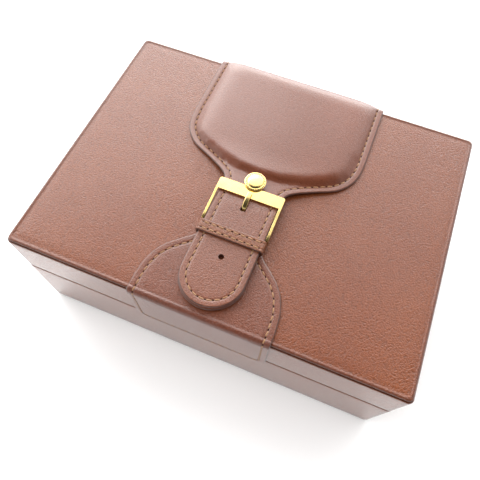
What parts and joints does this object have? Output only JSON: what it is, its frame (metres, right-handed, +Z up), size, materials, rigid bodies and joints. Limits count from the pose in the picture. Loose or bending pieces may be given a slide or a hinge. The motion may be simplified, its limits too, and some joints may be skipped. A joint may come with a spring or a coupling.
{
  "type": "watch box",
  "caption": "Leather-covered watch box with a back-hinged lid, a stitched strap, flap and buckle trim on top, and a cushioned insert inside.",
  "frame": {"origin": "centre of the closed box's footprint, on the surface it stands on", "axes": "+X along the long side, to the right seen from the front; +Y towards the hinges; +Z up out of the lid"},
  "size_m": [0.18, 0.1354, 0.0749],
  "materials": {
    "leather": "satin fine grain",
    "trim_leather": "satin fine grain, edge-painted",
    "board": "raw fibreboard",
    "suede": "microsuede",
    "foam": "open-cell foam",
    "brass": "polished",
    "steel": "nickel plated",
    "ribbon": "satin ribbon"
  },
  "bodies": {
    "base": {"base_board_back": "board", "base_board_front": "board", "base_board_left": "board", "base_board_right": "board", "base_collar": "suede", "base_floor_board": "board", "base_leather_wrap": "leather", "base_magnet_left": "steel", "base_magnet_right": "steel", "bottom_pad": "suede", "hinge_left_base_leaf": "brass", "hinge_left_base_screw_1": "brass", "hinge_left_base_screw_2": "brass", "hinge_left_pin": "brass", "hinge_right_base_leaf": "brass", "hinge_right_base_screw_1": "brass", "hinge_right_base_screw_2": "brass", "hinge_right_pin": "brass", "insert_ribbon": "ribbon", "insert_tray": "suede", "watch_cushion": "suede"},
    "lid": {"hinge_left_lid_leaf": "brass", "hinge_left_lid_screw_1": "brass", "hinge_left_lid_screw_2": "brass", "hinge_right_lid_leaf": "brass", "hinge_right_lid_screw_1": "brass", "hinge_right_lid_screw_2": "brass", "lid_board_back": "board", "lid_board_front": "board", "lid_board_left": "board", "lid_board_right": "board", "lid_leather_wrap": "leather", "lid_lining": "suede", "lid_magnet_left": "steel", "lid_magnet_right": "steel", "lid_pad": "suede", "lid_top_board": "board", "lid_top_leather": "leather", "apron_leather": "trim_leather", "chape_tab": "trim_leather", "flap_leather": "trim_leather", "flap_padding": "foam", "strap_root_lining": "trim_leather"},
    "strap_tip": {"strap_tip_leather": "trim_leather", "strap_tip_lining": "trim_leather"},
    "keeper": {"keeper_loop": "trim_leather"},
    "buckle": {"buckle_frame": "brass", "buckle_crossbar": "brass", "buckle_medallion": "brass"},
    "prong": {"buckle_prong": "brass"}
  },
  "joints": [
    {"name": "lid_hinge", "type": "hinge", "parent": "base", "child": "lid", "pos_m": [0, 0.0662, 0.0414], "axis": [-1, 0, 0], "range_deg": [0, 95]},
    {"name": "strap_tip_bend", "type": "hinge", "parent": "lid", "child": "strap_tip", "pos_m": [0.0005, -0.0365, 0.0722], "axis": [-1, 0, 0], "range_deg": [0, 30]},
    {"name": "keeper_slide", "type": "slide", "parent": "lid", "child": "keeper", "axis": [0, -1, 0], "range_m": [0, 0.004]},
    {"name": "buckle_pivot", "type": "hinge", "parent": "lid", "child": "buckle", "pos_m": [0.0005, -0.0249, 0.06895], "axis": [1, 0, 0], "range_deg": [0, 2.5]},
    {"name": "prong_pivot", "type": "hinge", "parent": "buckle", "child": "prong", "pos_m": [0.0005, -0.0249, 0.06895], "axis": [1, 0, 0], "range_deg": [0, 1.5]}
  ]
}
